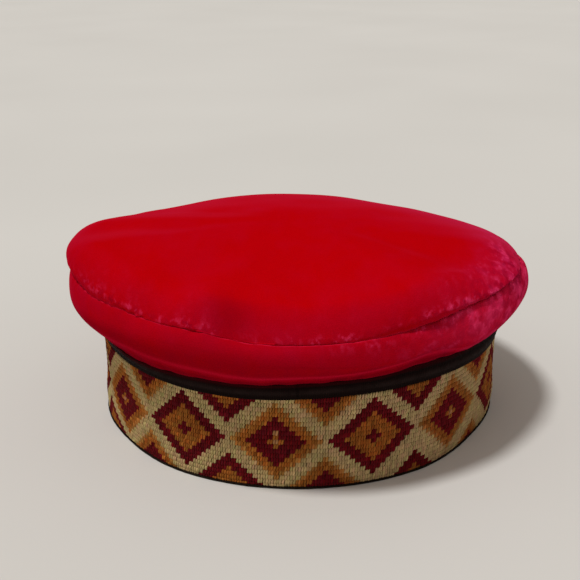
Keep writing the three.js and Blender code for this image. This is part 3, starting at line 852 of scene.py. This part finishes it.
def leg_template(rings, sides, height, dip, sink, wide_mid, wide_end, thick, reach_x, reach_z):
    """One leg of a stitch as a strand that rises out of one hole and goes down the next: per-vertex t, phi and faces."""
    ts = np.linspace(-1, 1, rings)
    verts_t, verts_phi, cap = [], [], []
    for t in ts:
        for k in range(sides):
            verts_t.append(t)
            verts_phi.append(2 * np.pi * k / sides)
            cap.append(1.0)
    faces = []
    for i in range(rings - 1):
        for k in range(sides):
            a, b = i * sides + k, i * sides + (k + 1) % sides
            c, d = b + sides, a + sides
            faces.append((a, b, c))
            faces.append((a, c, d))
    n = rings * sides
    verts_t += [-1.12, 1.12]
    verts_phi += [0, 0]
    cap += [0.0, 0.0]
    for k in range(sides):
        faces.append((n, (k + 1) % sides, k))
        faces.append((n + 1, n - sides + k, n - sides + (k + 1) % sides))
    t, phi, cap = np.array(verts_t), np.array(verts_phi), np.array(cap)
    return dict(t=t, phi=phi, cap=cap, faces=np.array(faces, np.int32), height=height, dip=dip, sink=sink, wide_mid=wide_mid, wide_end=wide_end, thick=thick, rx=reach_x, rz=reach_z)


def lay_legs(T, az, z, px, tall, slant, shift, jitter, tint):
    """All legs of one kind, as one array of points. slant +1 leans to the right going up, -1 to the left; shift is in columns."""
    n = len(az)
    t, phi, cap = T["t"][None], T["phi"][None], T["cap"][None]
    j = jitter
    hx = (px * T["rx"] * (1 + 0.06 * j[:, 0]))[:, None]
    hz = (PZ * T["rz"] * tall * (1 + 0.03 * j[:, 1]))[:, None]
    lift = T["height"] * (1 + 0.14 * j[:, 2])[:, None]
    tc = np.clip(t, -1, 1)
    w = T["wide_end"] + (T["wide_mid"] - T["wide_end"]) * (1 - np.abs(tc) ** 2.2)
    w = w * cap * (1 + 0.10 * j[:, 3])[:, None]
    th = T["thick"] * (0.75 + 0.25 * (1 - tc**2)) * cap
    path_s = hx * t * 1.0 + (shift * px)[:, None] + 0.05 * j[:, 4][:, None]
    path_z = slant * hz * t + 0.04 * j[:, 5][:, None]
    path_n = lift * (1 - T["dip"] * np.abs(tc) ** 3) - T["sink"] * np.abs(tc) ** 6 - 0.25 * (np.abs(t) > 1)
    # a slight bow of the leg to one side
    length = np.sqrt(hx**2 + hz**2)
    ux, uz = hx / length, slant * hz / length
    vx, vz = -uz, ux
    bow = 0.06 * j[:, 6][:, None] * (1 - tc**2)
    c, s_ = np.cos(phi), np.sin(phi)
    ps = path_s + (w * c + bow) * vx
    pz = path_z + (w * c + bow) * vz
    pn = path_n + th * s_
    zz = z[:, None] + pz
    rad = band_radius(zz) - CANVAS_IN + 0.10 + pn
    aa = az[:, None] + np.degrees(ps / 92.6)
    P = place(aa, rad, zz)
    along = (t * 1.5 + 0 * aa) * 0.001 + 0.01 * j[:, 7][:, None]
    about = phi / (2 * np.pi) + 0 * aa
    colour = np.broadcast_to(tint[:, None, :], (n, T["t"].size, 4))
    m = T["t"].size
    faces = T["faces"][None] + (np.arange(n) * m)[:, None, None]
    return P.reshape(-1, 3), faces.reshape(-1, 3), along.ravel(), about.ravel(), colour.reshape(-1, 4)


UNDER = leg_template(3, 4, 0.06, 0.50, 0.10, 0.95, 0.80, 0.26, 0.30, 0.46)
OVER = leg_template(5, 6, 0.46, 0.34, 0.06, 0.53, 0.44, 0.34, 0.11, 0.53)


def build_stitches(mat):
    cols = np.arange(COLS)
    edges = col_to_az(np.arange(COLS + 1) - 0.5)
    groups = {}
    for c in cols:
        az0 = float(col_to_az(c))
        nxt, prv = float(col_to_az(c + 0.5)), float(col_to_az(c - 0.5))
        px = math.radians(float(turn(nxt - prv)) % 360) * 92.6
        trim_az = float(trim_at([az0])[0])
        for r in range(-10, 10):
            z, tall = ROW0_Z + PZ * r, 1.0
            if r == -10:
                # the lowest row is half hidden by the edge tape
                z, tall = 1.40, 0.50
            if z - PZ * 0.5 > trim_az + 0.35:
                continue
            k = stitch_colour(c, r)
            if c == 234 and r == 2:
                k = 3
            groups.setdefault(k, []).append((az0, z, px, c, tall, bleed(c, r) if k < 2 else 0.0))
    objs = []
    for k in sorted(groups):
        rows = np.array(groups[k])
        for part, sel in enumerate(np.array_split(np.arange(len(rows)), max(1, math.ceil(len(rows) / 1200)))):
            rr = rows[sel]
            r = np.random.default_rng(100 + 10 * k + part)
            n = len(rr)
            base = np.array(YARN[k])[None] * (1 - rr[:, 5:6]) + np.array(MUSTARD[k])[None] * rr[:, 5:6]
            dye = 1 + 0.06 * r.standard_normal(n)[:, None] + 0.05 * ripple(rr[:, 0], 5, 20, 50 + k)[:, None]
            # olive and rosy casts drift over the wool
            cast = 0.5 * ripple(rr[:, 0], 20, 70, 60 + k) * np.cos(rr[:, 1] * 0.55 + 0.2 * rr[:, 0]) + 0.5 * r.standard_normal(n)
            parts = []
            # the under legs are painted darker (tone 0.62) for the shade they lie in beneath the over legs
            for T, slant, shift, tone in ((UNDER, -1, 0.0, 0.62), (OVER, 1, -0.25, 0.98), (OVER, 1, 0.25, 1.04)):
                own = cast + 0.8 * r.standard_normal(n)
                tint = np.ones((n, 4))
                tint[:, :3] = base * dye * tone * (1 + DRIFT[k][0] * r.standard_normal(n))[:, None]
                tint[:, :3] *= 1 + own[:, None] * np.array(DRIFT[k][1:])[None]
                # partly the dye's drift, partly painted light and shade round the band
                tint[:, :3] *= dye_and_light(k, rr[:, 0])
                tint[:, :3] = np.clip(tint[:, :3], 0.001, 0.95)
                parts.append(lay_legs(T, rr[:, 0], rr[:, 1], rr[:, 2], rr[:, 4], slant, shift, np.clip(r.standard_normal((n, 8)), -2, 2), tint))
            offs = np.cumsum([0] + [len(q[0]) for q in parts])
            V = np.concatenate([q[0] for q in parts])
            F = np.concatenate([q[1] + off for q, off in zip(parts, offs)])
            o = make_object(f"stitches_{('cream', 'gold', 'maroon', 'peach')[k]}_{part + 1}", V, F)
            attribute(o, "along", np.concatenate([q[2] for q in parts]))
            attribute(o, "about", np.concatenate([q[3] for q in parts]))
            attribute(o, "yarn", np.concatenate([q[4] for q in parts]), "FLOAT_COLOR")
            o.data.materials.append(mat)
            objs.append(o)
    return objs


# painted shade: the canvas is near-black brown so the gaps between the stitches read dark
canvas_mat = backing_material("stitch_canvas", (0.016, 0.009, 0.004), (0.050, 0.028, 0.014), 620)
lining_mat = backing_material("band_lining", (0.36, 0.30, 0.22), (0.50, 0.43, 0.32), 1400)
yarn_mat = yarn_material("wool_yarn")


def build_canvas():
    az = -90 + np.arange(360) * 1.0
    zo = np.array([0.95, 6, 12, 20, 28, 36, 42, 46, 49.6])
    outer_r = band_radius(zo) - CANVAS_IN
    pr = list(outer_r) + [92.0, 91.4] + list(np.interp(zo[::-1], [0, 50], [90.1, 91.3]))
    pz = list(zo) + [50.0, 50.0] + list(zo[::-1])
    pr, pz = np.array(pr)[:, None] + 0 * az[None], np.array(pz)[:, None] + 0 * az[None]
    hem = crown_at(az)[0] - 0.3
    pz = np.where(pz > 47, hem[None] + (pz - 50), pz)
    inner = np.zeros(len(pr), bool)
    inner[len(zo) + 1 :] = True
    pr[inner] += 0.15 * ripple(az, 5, 24, 61)[None]
    obj, P = tube_ring("band_canvas", az, pr, pz)
    obj.data.materials.append(canvas_mat)
    obj.data.materials.append(lining_mat)
    m, n = P.shape[:2]
    idx = np.repeat(np.arange(m), n)
    inner_face = np.zeros(m * n, np.int32)
    inner_face[idx >= len(zo) + 1] = 1
    obj.data.polygons.foreach_set("material_index", inner_face[: len(obj.data.polygons)])
    attribute(obj, "around", np.broadcast_to(np.radians(az)[None] * 0.092, pr.shape).ravel())
    attribute(obj, "up", (pz * 0.001).ravel())
    return obj


canvas = build_canvas()
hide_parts("band")
stitches = build_stitches(yarn_mat)

# ---------------------------------------------------------------- the black ribbon under the crown

ribbon_mat = ribbed_material("black_ribbon", (0.0050, 0.0018, 0.0014), (0.0200, 0.0110, 0.0100), 1100, 0.0)
binding_mat = ribbed_material("dark_binding", (0.004, 0.0022, 0.0016), (0.016, 0.010, 0.007), 900, 0.01, (0.9, 0.8, 0.7, 1))


def build_ribbon():
    az = -90 + np.arange(480) * 0.75
    z0 = trim_at(az) + 0.07 * ripple(az, 20, 60, 72)
    hem = crown_at(az)[0] - 0.25
    puff = 1 + 0.20 * ripple(az, 6, 26, 73)
    r0 = 93.42
    #        out from the band, up from the lower edge, proud; the last rows end under the crown's hem
    prof = [
        (0.0, 0.9, 0.0), (0.02, 0.2, 0.0), (0.16, 0.0, 0.05), (0.34, 0.35, 0.10), (0.46, 1.0, 0.10),
        (0.58, 1.7, 0.20), (0.86, 2.3, 0.55), (1.10, 3.0, 1.0), (1.12, 3.8, 1.0), (0.92, 4.5, 0.6),
        (0.62, 5.1, 0.15), (0.46, 5.8, 0.0), (0.44, 99, 0.0), (0.05, 99, 0.0), (0.0, 4.5, 0.0),
    ]
    p = np.array(prof)
    out = p[:, 0:1] * np.where(p[:, 0:1] > 0.7, 0.75 + 0.25 * puff[None], 1.0)
    pr = r0 + out + 0.05 * ripple(az, 60, 120, 74)[None] * smooth(0.3, 1.0, p[:, 0:1])
    pz = np.minimum(z0[None] + p[:, 1:2], hem[None])
    obj, P = tube_ring("trim_ribbon", az, pr, pz)
    obj.data.materials.append(ribbon_mat)
    attribute(obj, "around", np.broadcast_to(np.radians(az)[None] * 0.094, pr.shape).ravel())
    # painted highlight along the roll that stands proud
    attribute(obj, "proud", np.broadcast_to(p[:, 2:3], pr.shape).ravel())
    # painted red bounce light from the crown on the ribbon's top
    attribute(obj, "red_bounce_light", (1 - smooth(0.2, 1.7, hem[None] - pz)).ravel())
    return obj


def build_binding():
    az = -90 + np.arange(480) * 0.75
    w1, w2 = ripple(az, 8, 40, 81), ripple(az, 50, 120, 82)
    section = [
        # radius, height
        (91.90, 0.86), (92.35, 0.84), (92.66, 0.68), (92.74, 0.44), (92.60, 0.16), (92.1, 0.02), (91.0, 0.0), (89.8, 0.05), (89.15, 0.45), (88.95, 1.3), (89.05, 2.4), (89.4, 3.25), (89.95, 3.35), (90.15, 2.8), (90.2, 1.2), (91.4, 0.80),
    ]
    p = np.array(section)
    top_edge = np.array([1, 1, 0.6, 0, 0, 0, 0, 0, 0, 0, 0.5, 1, 1, 0.6, 0, 0])[:, None]
    pz = p[:, 1:2] + top_edge * (0.06 * w1 + 0.03 * w2)[None]
    bulge = np.array([0, 0.4, 1, 1, 0.8, 0, 0, 0, -0.8, -1, -1, -0.4, 0, 0, 0, 0])[:, None]
    pr = p[:, 0:1] + bulge * (0.06 * w1 + 0.04 * w2)[None]
    obj, P = tube_ring("edge_tape", az, pr, pz)
    obj.data.materials.append(binding_mat)
    attribute(obj, "around", np.broadcast_to(np.radians(az)[None] * 0.092, pr.shape).ravel())
    # painted highlight on the tape's rounded edges
    proud = np.array([0.3, 0.8, 1, 0.8, 0.3, 0, 0, 0, 0.3, 0.8, 0.8, 0.3, 0, 0, 0, 0])[:, None]
    attribute(obj, "proud", np.broadcast_to(proud, pr.shape).ravel())
    return obj


ribbon = build_ribbon()
binding = build_binding()
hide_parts("ribbon_trim")
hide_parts("edge_binding")

# ---------------------------------------------------------------- what rides where

for o in [side, top, canvas, ribbon, binding, *stitches]:
    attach(o, "root")

# ---------------------------------------------------------------- floor, light and camera

bpy.ops.mesh.primitive_plane_add(size=16, location=(0, 3, 0))
floor = bpy.context.object
floor.name = "floor"
floor.data.materials.append(floor_material())


def sun_light(name, azimuth, elevation, wide, power, colour=(1, 1, 1)):
    """A broad even light from one direction: degrees round from +X, degrees up and degrees across."""
    data = bpy.data.lights.new(name, "SUN")
    data.energy = power
    data.angle = math.radians(wide)
    data.color = colour
    obj = bpy.data.objects.new(name, data)
    a, e = math.radians(azimuth), math.radians(elevation)
    obj.location = (math.cos(a) * math.cos(e), math.sin(a) * math.cos(e), math.sin(e))
    obj.rotation_euler = obj.location.to_track_quat("Z", "Y").to_euler()
    scene.collection.objects.link(obj)
    return obj


sun_light("key", 210, 73, 9, 2.00, (1.0, 0.995, 0.98))

world = bpy.data.worlds.new("soft_studio")
world.use_nodes = True
scene.world = world
bg = world.node_tree.nodes["Background"]
bg.inputs["Color"].default_value = (1.0, 0.935, 0.85, 1)
bg.inputs["Strength"].default_value = 0.41

pitch, roll, yaw = 0.3523, -0.0113, -0.0087
forward = Vector((math.sin(yaw) * math.cos(pitch), math.cos(yaw) * math.cos(pitch), -math.sin(pitch)))
right = forward.cross(Vector((0, 0, 1))).normalized()
upward = right.cross(forward)
r2 = math.cos(roll) * right + math.sin(roll) * upward
u2 = -math.sin(roll) * right + math.cos(roll) * upward
cam_data = bpy.data.cameras.new("camera")
cam_data.sensor_width = 36
cam_data.lens = 36 * 1004.56 / 580
cam_data.clip_start = 0.01
cam_data.clip_end = 60
camera = bpy.data.objects.new("camera", cam_data)
m = Matrix((
    (r2.x, u2.x, -forward.x, AX * 0.001),
    (r2.y, u2.y, -forward.y, AY * 0.001 - 0.450),
    (r2.z, u2.z, -forward.z, 0.21829),
    (0, 0, 0, 1),
))
camera.matrix_world = m
scene.collection.objects.link(camera)
scene.camera = camera

scene.view_settings.view_transform = "Standard"
scene.view_settings.look = "None"
